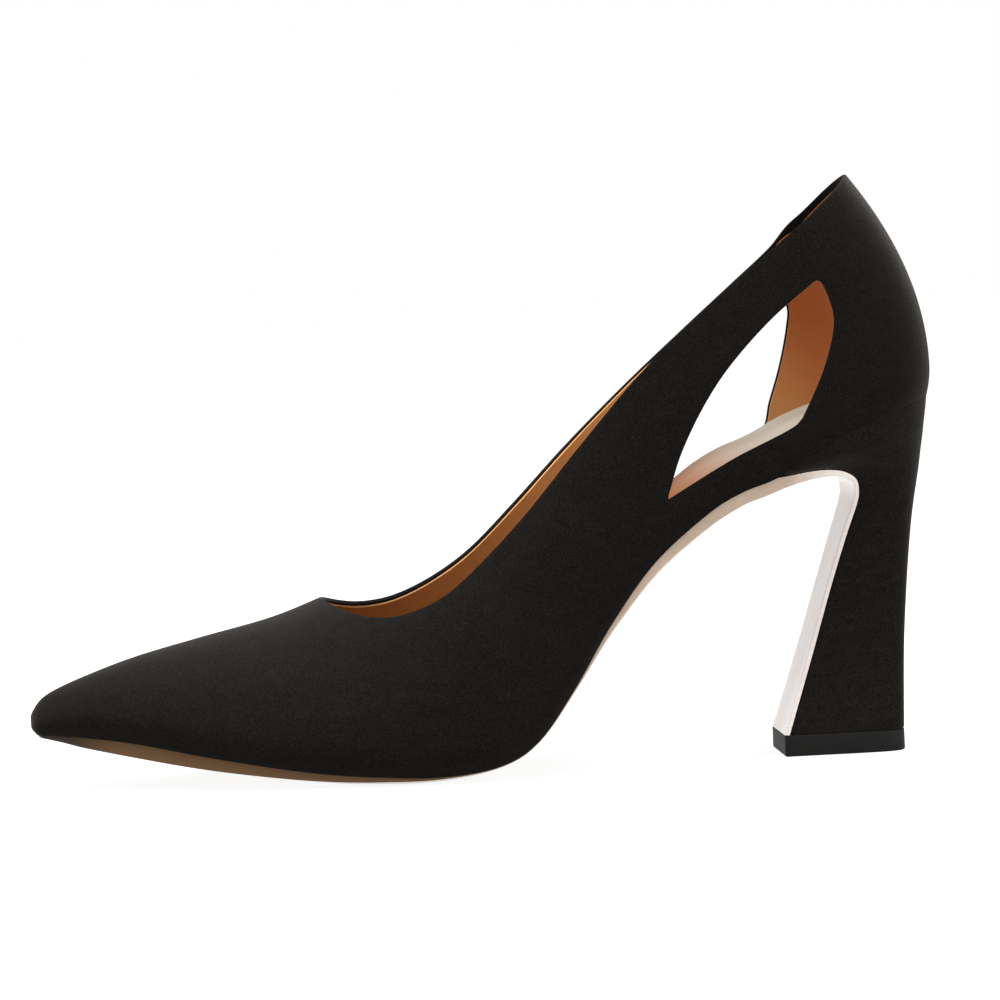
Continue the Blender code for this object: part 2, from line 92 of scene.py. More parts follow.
# Height of the collar on each side. The first row only carries the slope on in front of the throat
Collar = namedtuple("Collar", "x outer inner")
COLLAR = (
    Collar(-48.0, 48.3, 48.3),
    Collar(-41.9, 45.7, 45.7),
    Collar(-36.0, 43.1, 43.6),
    Collar(-30.0, 41.7, 42.8),
    Collar(-22.0, 42.2, 43.9),
    Collar(-12.0, 46.2, 48.2),
    Collar(-2.0, 54.2, 54.9),
    Collar(10.0, 66.0, 66.4),
    Collar(24.0, 82.0, 80.4),
    Collar(40.0, 99.3, 95.2),
    Collar(56.0, 113.8, 109.1),
    Collar(70.0, 125.4, 121.0),
    Collar(80.0, 133.3, 129.6),
    Collar(84.5, 136.9, 134.9),
    Collar(89.0, 140.7, 138.9),
    Collar(97.2, 147.4, 147.4),
)

# Outline of each cut-out in side view, from its front point over the top to the lower rear corner
CutPoint = namedtuple("CutPoint", "name outer_x outer_z inner_x inner_z")
CUT_OUT = (
    CutPoint("front point", 45.4, 67.6, 45.4, 65.6),
    CutPoint("front edge", 50.2, 80.4, 50.2, 80.4),
    CutPoint("upper edge", 60.2, 97.0, 59.2, 95.6),
    CutPoint("top edge", 74.0, 111.8, 71.0, 108.4),
    CutPoint("top front", 82.8, 118.9, 78.8, 115.0),
    CutPoint("top", 86.3, 121.1, 82.1, 117.6),
    CutPoint("top rear", 88.7, 116.2, 84.1, 113.4),
    CutPoint("rear", 89.6, 110.6, 83.7, 108.6),
    CutPoint("rear edge", 86.8, 99.6, 81.5, 98.6),
    CutPoint("lower rear", 81.4, 88.3, 78.4, 89.0),
    CutPoint("lower corner", 79.6, 85.5, 76.2, 82.0),
    CutPoint("lower edge", 62.4, 77.0, 61.4, 74.8),
)
CUT_STEPS = 20

# How much wider the suede is folded in at the back than along the sides, and how suddenly that starts
BACK_FOLD = 4.0
BACK_FOLD_POWER = 14

# Share of its thickness that the wall has at the toe tip, and the place where it has all of it
TOE_WALL = 0.3
FULL_WALL_PLACE = 1.7

# Spacing of the points of the upper: fewest stations between two sections, samples up the wall and
# the power that draws them to its lower edge, and how close stations start behind the throat and
# points start at the lower edge
FEWEST_STATIONS = 4
WALL_SAMPLES = 140
SAMPLE_POWER = 1.5
THROAT_START = 0.3
LOW_START = 0.72

# Points closer than this are one, and edges sharper than this angle stay sharp
SAME_POINT = 0.000004
SMOOTH_ANGLE = 50.0

# Share of the length to each side over which the slope of the lower edge is taken
SLOPE_STEP = 0.004

# Thickness of the outsole below the upper's lower edge, at its rim and added at its middle
SolePlan = namedtuple("SolePlan", "along rim camber")
SOLE = (
    SolePlan(0.000, 0.3, 0.1),
    SolePlan(0.030, 1.5, 0.2),
    SolePlan(0.058, 2.7, 0.3),
    SolePlan(0.115, 3.6, 0.5),
    SolePlan(0.188, 3.3, 0.6),
    SolePlan(0.265, 2.5, 0.8),
    SolePlan(0.372, 1.4, 1.8),
    SolePlan(0.450, 0.6, 1.8),
    SolePlan(0.520, 0.3, 1.2),
    SolePlan(0.585, 0.5, 1.2),
    SolePlan(0.628, 1.4, 1.4),
    SolePlan(0.679, 2.4, 1.6),
    SolePlan(0.740, 3.0, 1.2),
    SolePlan(0.790, 3.2, 0.2),
)

# Heel from the seat down. The front line is where the sole runs down, the back line is the back seam,
# flap is the thickness of the sole there and arch is how much higher the inner end of the front is
HeelRing = namedtuple(
    "HeelRing", "name front_x front_z back_x back_z front_half back_half square flap arch")
HEEL = (
    HeelRing("lip", 76.5, 72.3, 115.5, 87.4, 23.0, 24.6, 2.0, 2.7, 3.8),
    HeelRing("under lip", 82.5, 73.1, 114.9, 84.2, 21.4, 23.2, 2.1, 2.1, 2.8),
    HeelRing("corner start", 87.6, 73.2, 114.3, 80.6, 19.3, 21.3, 2.2, 1.7, 1.7),
    HeelRing("corner", 92.0, 72.4, 113.5, 76.6, 17.2, 19.2, 2.4, 1.4, 0.8),
    HeelRing("corner end", 95.2, 70.2, 112.8, 72.6, 15.3, 17.2, 2.6, 1.2, 0.2),
    HeelRing("neck top", 96.0, 66.6, 112.0, 68.4, 13.8, 15.6, 2.8, 1.2, 0.0),
    HeelRing("neck", 95.3, 63.0, 111.1, 63.6, 12.8, 14.2, 3.0, 1.2, 0.0),
    HeelRing("stem top", 92.6, 55.5, 109.9, 55.5, 11.6, 12.4, 3.4, 1.2, 0.0),
    HeelRing("stem", 88.0, 42.0, 108.4, 42.0, 11.0, 11.3, 4.0, 1.2, 0.0),
    HeelRing("flare", 82.8, 26.0, 107.0, 26.0, 11.6, 11.7, 4.6, 1.2, 0.0),
    HeelRing("foot", 75.8, 5.55, 106.0, 5.55, 13.2, 13.2, 5.2, 1.2, 0.0),
)

# Insole above the upper's lower edge, and how much higher its rim is than its middle
InsolePlan = namedtuple("InsolePlan", "along base thick cup")
INSOLE = (
    InsolePlan(0.020, 1.4, 1.6, 0.2),
    InsolePlan(0.320, 1.4, 2.2, 0.4),
    InsolePlan(0.560, 1.4, 3.0, 0.6),
    InsolePlan(0.680, 1.4, 3.8, 0.8),
    InsolePlan(0.780, 1.2, 4.2, 1.0),
    InsolePlan(0.880, 0.4, 4.8, 1.2),
    InsolePlan(1.000, 0.2, 5.0, 1.4),
)

# Where painted light and shade change along the shoe, in metres. The lining's painted shade and the sock's
# painted reflection grow towards the back over a stretch of x plus z, the sole's painted shade turns near
# black towards the toe tip and fades out behind the forefoot, and the painted glare on the front of the
# heel leans, so it starts at x less a share of z
LINING_SHADE_TURN = (0.150, 0.205)
SOCK_REFLECTION_TURN = (0.112, 0.163)
TIP_SHADE = (-0.110, -0.094)
FOREFOOT_END = (-0.010, 0.030)
HEEL_FRONT_GLARE = (0.058, 0.072)
HEEL_FRONT_LEAN = 0.25

# Share of red, green and blue that is left where a leather's dye is deepest
DEEP_DYE = (0.82, 0.77, 0.72)


def length_property(name, description, default):
    return FloatProperty(name=name, description=description, default=default, min=0.0, unit="LENGTH")


def colour_property(name, description, default):
    return FloatVectorProperty(name=name, description=description, default=default, size=3,
                               min=0.0, max=1.0, subtype="COLOR")


def angle_property(name, description, degrees):
    return FloatProperty(name=name, description=description, default=math.radians(degrees),
                         subtype="ANGLE", unit="ROTATION")


class HeelSizes(bpy.types.PropertyGroup):
    """Sizes of the last and of the pieces on it."""
    length: length_property("Length", "Length of the shoe over all", 0.234)
    ball_width: length_property("Ball Width", "Width of the upper at the ball", 0.077)
    seat_height: length_property("Seat Height", "Height of the upper's lower edge at the back", 0.0902)
    instep_height: length_property("Instep Height", "Height of the vamp's ridge by the throat", 0.0453)
    nose_length: length_property("Nose Length", "Length over which the toe tip rounds down", 0.0032)
    nose_height: length_property("Nose Height", "Height of the foremost point of the toe", 0.0184)
    nose_tuck: length_property("Nose Tuck", "How far the lower edge turns in at the toe tip", 0.0012)
    back_bulge: length_property("Back Bulge", "Height above which the back leans forward", 0.097)
    back_curve: length_property("Back Curve", "Size of the curve of the back above its bulge", 0.130)
    tuck: length_property("Tuck", "How far the lower edge of the upper turns in", 0.0024)
    tuck_height: length_property("Tuck Height", "Height over which the lower edge turns in", 0.0075)
    back_tuck: length_property("Back Tuck", "How far the lower edge turns in at the back", 0.001)
    suede: length_property("Suede", "Thickness of the upper's suede with its backing", 0.0010)
    lining: length_property("Lining", "Thickness of the leather lining", 0.00055)
    fold: length_property("Fold", "Width of the suede folded over above the lining", 0.0005)
    cut_fold: length_property("Cut-out Fold", "Width of the suede that shows inside the cut-outs", 0.0004)
    edge_round: length_property("Edge Round", "Radius of the folded edges", 0.00035)
    seam_depth: length_property("Seam Depth", "Depth of the trough of the back seam", 0.00025)
    seam_width: length_property("Seam Width", "Half width of the trough of the back seam", 0.0012)
    glue_line: length_property("Glue Line", "Gap between pieces that are glued together", 0.0003)
    top_piece: length_property("Top Piece", "Height of the rubber top piece", 0.0055)
    mesh_step: length_property("Mesh Step", "Distance between points along the upper", 0.0013)
    mesh_rows: IntProperty(name="Mesh Rows", description="Faces up the wall of the upper", default=54,
                           min=8)


class HeelColours(bpy.types.PropertyGroup):
    """Colours of the finishes."""
    suede: colour_property("Suede", "Nap brushed away from the light", (0.0009, 0.0007, 0.0005))
    suede_light: colour_property("Suede Light", "Nap brushed towards the light", (0.0080, 0.0068, 0.0050))
    lining: colour_property("Lining", "Leather lining of the upper along the collar", (0.48, 0.225, 0.075))
    # Painted shade: the lining darkens to this colour towards the back and the top
    lining_shade: colour_property("Lining Back", "Darker lining at the back", (0.288, 0.074, 0.013))
    sock: colour_property("Sock", "Leather sock on the insole", (0.120, 0.041, 0.009))
    # Painted reflection: the sock turns to this paler, greyer colour at the seat, standing in for white
    # light reflected there
    sock_seat_reflection: colour_property("Sock Seat", "Paler sock at the seat", (0.160, 0.142, 0.114))
    sole: colour_property("Sole", "Cut edge of the sole's leather", (0.36, 0.270, 0.195))
    # Partly the leather's pale face, partly painted glare: this colour also covers the front of the heel,
    # standing in for glare there
    sole_face_and_glare: colour_property("Sole Face", "Paler face of the sole's leather", (0.62, 0.57, 0.53))
    # Painted shade: brown on the forefoot's edge, near black at the toe tip, stands in for shade near the
    # floor
    sole_edge_shade: colour_property("Sole Edge", "Brown dye on the sole's edge at the forefoot",
                               (0.085, 0.042, 0.014))
    rubber: colour_property("Rubber", "Rubber of the top piece", (0.0030, 0.0028, 0.0025))
    floor: colour_property("Floor", "Colour of the floor under its own light", (0.20, 0.20, 0.20))
    floor_light: colour_property("Floor Light", "Pale light of the floor itself", (0.97, 0.97, 0.97))


class HeelStage(bpy.types.PropertyGroup):
    """Camera and lights."""
    turn: angle_property("Camera Turn", "Turn of the camera from square on towards the toe", 4.0)
    height: angle_property("Camera Height", "Angle at which the camera looks down", 3.1)
    roll: angle_property("Camera Roll", "Roll that puts the heel higher in the picture than the ball",
                         2.569)
    distance: length_property("Camera Distance", "Distance from the camera to the middle of the view", 1.3)
    lens: FloatProperty(name="Lens", description="Focal length in millimetres", default=183.1,
                        subtype="DISTANCE_CAMERA")
    middle: FloatVectorProperty(name="Middle", description="Point at the middle of the picture",
                                default=(0.00522, 0.0, 0.06834), size=3, subtype="TRANSLATION",
                                unit="LENGTH")
    sky: FloatProperty(name="Sky", description="Strength of the white light from all round", default=1.0)
    key: FloatProperty(name="Key", description="Power of the large light above", default=50.0, unit="POWER")
    floor_glow: FloatProperty(name="Floor Glow", description="Strength of the light in the floor itself",
                              default=0.85)
    fill: FloatProperty(name="Fill", description="Power of the light beside the heel", default=12.0,
                        unit="POWER")


def sizes():
    return bpy.context.scene.heel_sizes


def colours():
    return bpy.context.scene.heel_colours


def catmull(a, b, c, d, t):
    """Point at t on the smooth curve from b to c, with a before it and d after it."""
    return b + (c - a + (2 * a - 5 * b + 4 * c - d + (3 * (b - c) + d - a) * t) * t) * (0.5 * t)


def gentle(a, b, c, d, t):
    """Point at t on a curve from b to c that keeps close to points at uneven distances."""
    ab, bc, cd = [math.sqrt((q - p).length) for p, q in ((a, b), (b, c), (c, d))]
    start, end = c - b, c - b
    if ab:
        start += ((b - a) / ab - (c - a) / (ab + bc)) * bc
    if cd:
        end += ((d - c) / cd - (d - b) / (bc + cd)) * bc
    return b.lerp(c, t * t * (3 - 2 * t)) + (start * (1 - t) - end * t) * (t * (1 - t))


def table_at(rows, x, key, column):
    """Smooth value of a table's column at x, where key is the column that holds x."""
    xs = [getattr(row, key) for row in rows]
    ys = [getattr(row, column) for row in rows]
    x = min(max(x, xs[0]), xs[-1])
    i = max(k for k in range(len(xs) - 1) if xs[k] <= x)
    slopes = []
    for k in (i, i + 1):
        low, high = max(k - 1, 0), min(k + 1, len(xs) - 1)
        slopes.append((ys[high] - ys[low]) / (xs[high] - xs[low]))
    span = xs[i + 1] - xs[i]
    t = (x - xs[i]) / span
    return (ys[i] * (1 + 2 * t) * (1 - t) ** 2 + ys[i + 1] * t * t * (3 - 2 * t)
            + span * t * (1 - t) * (slopes[0] * (1 - t) - slopes[1] * t))


def plan_at(rows, along, *columns):
    """Smooth values of a table's columns at a share of the length, in metres."""
    return [table_at(rows, along, "along", column) * MM for column in columns]


def around(items, i):
    """Four items, from the one before i, where the end ones stand in for those that are missing."""
    return [items[min(max(k, 0), len(items) - 1)] for k in range(i - 1, i + 3)]


class Last:
    """The last at one place along the shoe, worked out between two rows of the section table."""
    HEEL_FLUSH = 0.7
    TUCK_OF_RISE = 0.5
    TUCK_OF_HALF = 0.28
    HALVINGS = 36
    BACK_TUCK_POWER = 4

    def __init__(self, place):
        size = sizes()
        self.size = size
        self.place = place
        i = min(int(place), LAST_PLACE - 1)
        t = place - i
        near = [SECTIONS[min(abs(k), 2 * LAST_PLACE - abs(k))] for k in range(i - 1, i + 3)]
        mirrored = [-1.0 if k < 0 or k > LAST_PLACE else 1.0 for k in range(i - 1, i + 3)]

        def column(name, signs=(1.0, 1.0, 1.0, 1.0)):
            return catmull(*[getattr(row, name) * sign for row, sign in zip(near, signs)], t)

        self.along = column("along")
        self.x = size.length * (self.along - 0.5)
        self.half = max(0.0, size.ball_width / 2 * column("width", mirrored))
        self.axis = column("axis") * MM
        self.rim_outer = size.seat_height * column("rise")
        self.arch = column("arch") * MM
        self.lean = column("lean")
        self.nose = max(0.0, 1 - (self.x + size.length / 2) / size.nose_length)
        crown = size.instep_height * column("crown")
        self.top = size.nose_height + (crown - size.nose_height) * math.sqrt(1 - self.nose ** 2)
        seam = max(0.0, 1.0 - self.half / size.seam_width) if place > THROAT else 0.0
        self.trough = size.seam_depth * seam * seam * (3 - 2 * seam)

    def rim(self, side):
        """Height of the wall's lower edge, side -1 for outer and 1 for inner."""
        return self.rim_outer + (self.arch if side > 0 else 0.0)

    def wall(self, side, turn):
        """Point of the outer surface, from turn 0 at the lower edge to a quarter turn at the ridge."""
        size = self.size
        rim = self.rim(side)
        rise = self.top - rim
        z = rim + rise * math.sin(turn)
        low = max(0.0, 1.0 - (z - rim) / min(size.tuck_height, self.TUCK_OF_RISE * rise)) ** 2
        tuck = min(size.tuck * (1 - self.HEEL_FLUSH * self.lean), self.TUCK_OF_HALF * self.half)
        y = self.half * math.cos(turn) - tuck * low
        x = self.x - self.lean * max(0.0, z - size.back_bulge) ** 2 / size.back_curve
        back_tuck = size.back_tuck * self.lean ** self.BACK_TUCK_POWER
        x += (size.nose_tuck * self.nose ** 2 - back_tuck) * low - self.trough
        return Vector((x, self.axis + side * y, z))

    def collar_turn(self, side, drop=0.0):
        """Turn at which the wall meets the collar, put lower by drop, or a quarter where it is closed."""
        column = "inner" if side > 0 else "outer"
        if self.place < THROAT - 1:
            return QUARTER
        low, high = 0.0, QUARTER
        for _ in range(self.HALVINGS):
            turn = (low + high) / 2
            point = self.wall(side, turn)
            if point.z < table_at(COLLAR, point.x / MM, "x", column) * MM - drop:
                low = turn
            else:
                high = turn
        return low

    def skin(self, side, height):
        """Point of the outer surface at a height above its lower edge."""
        rise = self.top - self.rim(side)
        return self.wall(side, math.asin(min(1.0, max(0.0, height) / rise)))


def wall_share(x):
    """Share of its full thickness that the wall has at a place, thinner at the toe tip."""
    toe_x, full_x = Last(0.0).x, Last(FULL_WALL_PLACE).x
    return TOE_WALL + (1 - TOE_WALL) * min(1.0, max(0.0, (x - toe_x) / (full_x - toe_x)))


def place_along(share):
    """Place in the section table at a share of the length."""
    low, high = 0.0, float(LAST_PLACE)
    for _ in range(Last.HALVINGS):
        middle = (low + high) / 2
        if Last(middle).along < share:
            low = middle
        else:
            high = middle
    return low


def stations(start=0.0, step=None):
    """Places along the shoe about one mesh step apart, and closer behind the throat and at both ends."""
    step = step or sizes().mesh_step
    found = []
    for row in range(int(start), LAST_PLACE):
        ends = [Last(row).skin(-1, 0.0), Last(row + 1).skin(-1, 0.0)]
        count = max(FEWEST_STATIONS, round((ends[1] - ends[0]).length / step))
        if row in (0, LAST_PLACE - 1):
            count = 2 * count
        for k in range(count):
            t = k / count
            if row == THROAT:
                t *= THROAT_START + (1 - THROAT_START) * t
            elif row == 0:
                t *= t
            elif row == LAST_PLACE - 1:
                t *= 2 - t
            found.append(row + t)
    return [place for place in found if place >= start] + [float(LAST_PLACE)]


def wall_points(last, side, start, drop, count):
    """Points up the wall, spaced along its skin, from start above the lower edge to the collar."""
    end = last.collar_turn(side, drop)
    turns = [end * (k / WALL_SAMPLES) ** SAMPLE_POWER for k in range(WALL_SAMPLES + 1)]
    line = np.array([last.wall(side, turn) for turn in turns])
    run = np.concatenate(([0.0], np.cumsum(np.linalg.norm(np.diff(line, axis=0), axis=1))))
    steps = np.linspace(0.0, 1.0, count + 1)
    wanted = start + (run[-1] - start) * steps * (LOW_START + (1 - LOW_START) * steps)
    return np.stack([np.interp(wanted, run, line[:, n]) for n in range(3)], axis=1)


def select_only(*pieces):
    bpy.ops.object.select_all(action="DESELECT")
    for piece in pieces:
        piece.select_set(True)
    bpy.context.view_layer.objects.active = pieces[0]


def add_grid(name, columns, rows, place):
    """Grid primitive laid on a surface, where place(column, row) gives each of its points."""
    bpy.ops.object.select_all(action="DESELECT")
    bpy.ops.mesh.primitive_grid_add(x_subdivisions=columns, y_subdivisions=rows, size=1.0)
    piece = bpy.context.object
    piece.name = name
    piece.data.name = name
    for vert in piece.data.vertices:
        vert.co = place(round((vert.co.x + 0.5) * columns), round((vert.co.y + 0.5) * rows))
    return piece


def edit_all(piece, *steps):
    """Works on all of a piece in edit mode, where each step is an operator and its settings."""
    select_only(piece)
    bpy.ops.object.mode_set(mode="EDIT")
    for operator, settings in steps:
        bpy.ops.mesh.select_all(action="SELECT")
        operator(**settings)
    bpy.ops.object.mode_set(mode="OBJECT")


def merge_points(piece):
    """Closes seams and poles where points of a piece coincide."""
    edit_all(piece, (bpy.ops.mesh.remove_doubles, {"threshold": SAME_POINT}))


def close_ends(piece):
    """Fills the open ends of a tube and points its faces outwards."""
    edit_all(piece, (bpy.ops.mesh.fill_holes, {"sides": 0}),
             (bpy.ops.mesh.normals_make_consistent, {"inside": False}))


def add_tube(name, rings):
    """Closed solid through rings of equally many points."""
    count = len(rings[0])
    piece = add_grid(name, len(rings) - 1, count, lambda column, row: rings[column][row % count])
    merge_points(piece)
    close_ends(piece)
    return piece


def apply_modifier(piece, kind, **settings):
    select_only(piece)
    bpy.ops.object.modifier_add(type=kind)
    modifier = piece.modifiers[-1]
    for key, value in settings.items():
        setattr(modifier, key, value)
    bpy.ops.object.modifier_apply(modifier=modifier.name)


def round_edges(piece, width, segments=3, angle=45.0):
    """Rounds the edges of a piece that are sharper than an angle."""
    apply_modifier(piece, "BEVEL", width=width, segments=segments, limit_method="ANGLE",
                   angle_limit=math.radians(angle))


def finish_piece(piece, material, node=None):
    """Shades a piece, gives it its material and puts it on the shoe."""
    piece.data.materials.clear()
    piece.data.materials.append(material)
    select_only(piece)
    bpy.ops.object.shade_smooth_by_angle(angle=math.radians(SMOOTH_ANGLE))
    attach(piece, "root")
    if node:
        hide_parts(node)


class Wire:
    """A shader socket that Python's operators turn into Math nodes."""

    def __init__(self, paint, socket):
        self.paint = paint
        self.socket = socket

    def math(self, operation, *values):
        return self.paint.node("Math", {"operation": operation}, dict(enumerate(values)))

    def __add__(self, other):
        return self.math("ADD", self, other)

    def __sub__(self, other):
        return self.math("SUBTRACT", self, other)

    def __rsub__(self, other):
        return self.math("SUBTRACT", other, self)

    def __mul__(self, other):
        return self.math("MULTIPLY", self, other)

    def __abs__(self):
        return self.math("ABSOLUTE", self)

    __radd__ = __add__
    __rmul__ = __mul__


class Paint:
    """A material and its nodes. Values that are the same all over are set on the shader's own sockets."""

    def __init__(self, name, **constants):
        self.material = bpy.data.materials.new(name)
        self.material.use_nodes = True
        self.tree = self.material.node_tree
        self.shader = self.tree.nodes["Principled BSDF"]
        for socket, value in constants.items():
            self.shader.inputs[socket.replace("_", " ")].default_value = value
        self.where = self.node("TexCoord", output="Object")

    def node(self, kind, settings=None, sockets=None, output=0):
        """Adds a node: its settings are set first, then the values or links of its sockets."""
        made = self.tree.nodes.new("ShaderNode" + kind)
        for key, value in (settings or {}).items():
            setattr(made, key, value)
        for key, value in (sockets or {}).items():
            self.join(made.inputs[key], value)
        return Wire(self, made.outputs[output])

    def join(self, socket, value):
        if isinstance(value, Wire):
            self.tree.links.new(value.socket, socket)
        else:
            socket.default_value = value

    def feed(self, **inputs):
        for socket, value in inputs.items():
            self.join(self.shader.inputs[socket.replace("_", " ")], value)

    def noise(self, size, detail=2.0, roughness=0.5, stretch=(1.0, 1.0, 1.0)):
        """Noise whose patches are about size across, in metres, drawn out by stretch."""
        scale = tuple(1.0 / (size * share) for share in stretch)
        where = self.node("Mapping", {"vector_type": "POINT"}, {"Vector": self.where, "Scale": scale})
        return self.node("TexNoise", {}, {"Vector": where, "Scale": 1.0, "Detail": detail,
                                          "Roughness": roughness})

    def cells(self, size):
        """Distance to the middle of each cell, in cells about size across."""
        return self.node("TexVoronoi", {}, {"Vector": self.where, "Scale": 1.0 / size}, output="Distance")

    def axis(self, letter, vector=None):
        """One coordinate of the place on the piece, or of another vector."""
        return self.node("SeparateXYZ", {}, {0: vector or self.where}, output=letter)

    def ramp(self, value, low, high):
        """Smooth step from 0 at low to 1 at high."""
        return self.node("MapRange", {"interpolation_type": "SMOOTHSTEP"},
                         {"Value": value, "From Min": low, "From Max": high, "To Min": 0.0, "To Max": 1.0})

    def mix(self, share, first, second):
        """Colour between two colours."""
        first, second = [c if isinstance(c, Wire) else (*c, 1.0) for c in (first, second)]
        return self.node("Mix", {"data_type": "RGBA"}, {0: share, 6: first, 7: second}, output=2)

    def bump(self, height, distance, strength):
        return self.node("Bump", {}, {"Strength": strength, "Distance": distance, "Height": height})


def shade_of(colour, share):
    return tuple(c * share for c in colour)


def suede_finish(name, lift=1.0):
    """Black suede: a fine short nap, brushed in soft patches, whose colours lift makes lighter; a lift
    above one is painted light.
    """
    dark, light = [shade_of(shade, lift) for shade in (colours().suede, colours().suede_light)]
    paint = Paint(name, Specular_IOR_Level=0.06, Sheen_Weight=0.088, Sheen_Roughness=0.35,
                  Sheen_Tint=(0.84, 0.78, 0.70, 1.0))
    nap = paint.noise(0.00032, detail=3.0, roughness=0.70)
    strokes = paint.noise(0.0030, detail=3.0, roughness=0.55, stretch=(1.6, 1.0, 0.8))
    clouds = paint.noise(0.030)
    tone = nap * 0.82 + strokes * 0.12 + clouds * 0.06
    paint.feed(Base_Color=paint.mix(paint.ramp(tone, 0.36, 0.70), dark, light),
               Roughness=0.98 - nap * 0.14,
               Normal=paint.bump(nap * 0.9 + strokes * 0.35, distance=0.00018, strength=0.55))
    return paint.material


def leather_finish(name, colour, painted_light_colour, turn, pore, rough, shine):
    """Smooth leather: pores, fine wrinkles and uneven dye, with a second colour towards the back that is
    painted light: painted shade on the lining, a painted reflection on the sock.
    """
    paint = Paint(name, Specular_IOR_Level=shine)
    pores = paint.ramp(paint.cells(pore), 0.10, 0.42)
    wrinkles = paint.noise(pore * 3.2, detail=4.0, roughness=0.6, stretch=(1.8, 1.0, 1.0))
    dye = paint.noise(0.030, detail=3.0, roughness=0.55)
    shade = paint.ramp(dye * 0.65 + wrinkles * 0.25 + pores * 0.10, 0.30, 0.62)
    # back: share of the second colour, painted shade on the lining and a painted reflection on the sock,
    # over turn's stretch of x plus z
    back = paint.ramp(paint.axis("X") + paint.axis("Z"), *turn)
    full = paint.mix(back, colour, painted_light_colour)
    deep = paint.mix(back, *[[c * s for c, s in zip(dye_and_shade, DEEP_DYE)] for dye_and_shade in (colour, painted_light_colour)])
    paint.feed(Base_Color=paint.mix(shade, deep, full),
               Roughness=rough + 0.16 * wrinkles - 0.05 * pores,
               Normal=paint.bump(pores * 0.4 + wrinkles * 0.6, distance=0.00006, strength=0.5))
    return paint.material


def sole_finish(name):
    """Sole leather: beige with a fine fibre and darker on its cut edge, with painted glare that keeps the
    front of the heel pale and painted shade that makes the forefoot's edge brown and near black at the toe
    tip.
    """
    tint = colours()
    paint = Paint(name, Specular_IOR_Level=0.2, Coat_Roughness=0.22)
    fibre = paint.noise(0.0007, detail=4.0, roughness=0.65, stretch=(4.0, 1.0, 1.0))
    dye = paint.noise(0.024, detail=3.0, roughness=0.55)
    normal = paint.node("NewGeometry", output="Normal")
    along = paint.axis("X")
    upright = 1.0 - paint.ramp(abs(paint.axis("Z", normal)), 0.80, 0.95)
    # Painted glare: at the front of the heel the side faces take the pale face colour in place of the cut
    # edge's
    heel_front_glare = paint.ramp(along - paint.axis("Z") * HEEL_FRONT_LEAN, *HEEL_FRONT_GLARE)
    cut_edge = paint.ramp(abs(paint.axis("Y", normal)), 0.50, 0.75) * (1.0 - heel_front_glare * 0.8)
    forefoot = 1.0 - paint.ramp(along, *FOREFOOT_END)
    # edge: painted shade on the forefoot's edge, brown, turning near black towards the toe tip
    edge = paint.mix(paint.ramp(along, *TIP_SHADE), shade_of(tint.sole_edge_shade, 0.18), tint.sole_edge_shade)
    deep, full = [paint.mix(cut_edge, shade_of(tint.sole_face_and_glare, share), shade_of(tint.sole, share))
                  for share in (0.80, 1.0)]
    beige = paint.mix(paint.ramp(dye * 0.6 + fibre * 0.4, 0.32, 0.66), deep, full)
    # Painted shade, not dye, on the upright faces of the forefoot
    dye_and_shade = upright * forefoot
    paint.feed(Base_Color=paint.mix(dye_and_shade, beige, edge),
               Roughness=0.42 + 0.14 * fibre,
               Coat_Weight=0.7 - 0.7 * dye_and_shade,
               Normal=paint.bump(fibre, distance=0.00006, strength=0.5))
    return paint.material


def rubber_finish(name):
    """Matt black rubber with a fine moulded grain."""
    paint = Paint(name, Specular_IOR_Level=0.13)
    grain = paint.noise(0.0004, detail=3.0, roughness=0.6)
    dust = paint.noise(0.006, detail=3.0, roughness=0.6)
    dusty = paint.ramp(dust * 0.6 + grain * 0.4, 0.35, 0.75)
    black = colours().rubber
    paint.feed(Base_Color=paint.mix(dusty, black, shade_of(black, 2.0)),
               Roughness=0.52 + 0.2 * grain,
               Normal=paint.bump(grain, distance=0.00006, strength=0.5))
    return paint.material


def cut_outline(side, grow=0.0):
    """Cut-out outline in side view as an array of x and z, moved outwards by grow."""
    word = "inner" if side > 0 else "outer"
    points = [Vector((getattr(row, word + "_x"), getattr(row, word + "_z"))) * MM for row in CUT_OUT]
    count = len(points)
    outline = []
    for i in range(count):
        ends = points[max(i - 1, 0)], points[i], points[(i + 1) % count], points[min(i + 2, count) % count]
        outline += [gentle(*ends, k / CUT_STEPS) for k in range(CUT_STEPS)]
    outline = np.array([tuple(point) for point in outline])
    run = np.roll(outline, -1, axis=0) - np.roll(outline, 1, axis=0)
    run /= np.linalg.norm(run, axis=1)[:, None]
    return outline + grow * np.stack((-run[:, 1], run[:, 0]), axis=1)


def outline_gap(points, outline):
    """Distance of points from an outline, minus inside it."""
    start, end = outline, np.roll(outline, -1, axis=0)
    run = end - start
    reach = points[:, None, :] - start
    share = np.clip((reach * run).sum(2) / (run * run).sum(1), 0.0, 1.0)
    nearest = start + share[..., None] * run
    gaps = np.linalg.norm(points[:, None, :] - nearest, axis=2).min(axis=1)
    spans = (start[:, 1] > points[:, None, 1]) != (end[:, 1] > points[:, None, 1])
    with np.errstate(divide="ignore", invalid="ignore"):
        cross = start[:, 0] + reach[..., 1] / run[:, 1] * run[:, 0]
    inside = ((points[:, None, 0] < cross) & spans).sum(axis=1) % 2 == 1
    return np.where(inside, -1.0, 1.0) * gaps


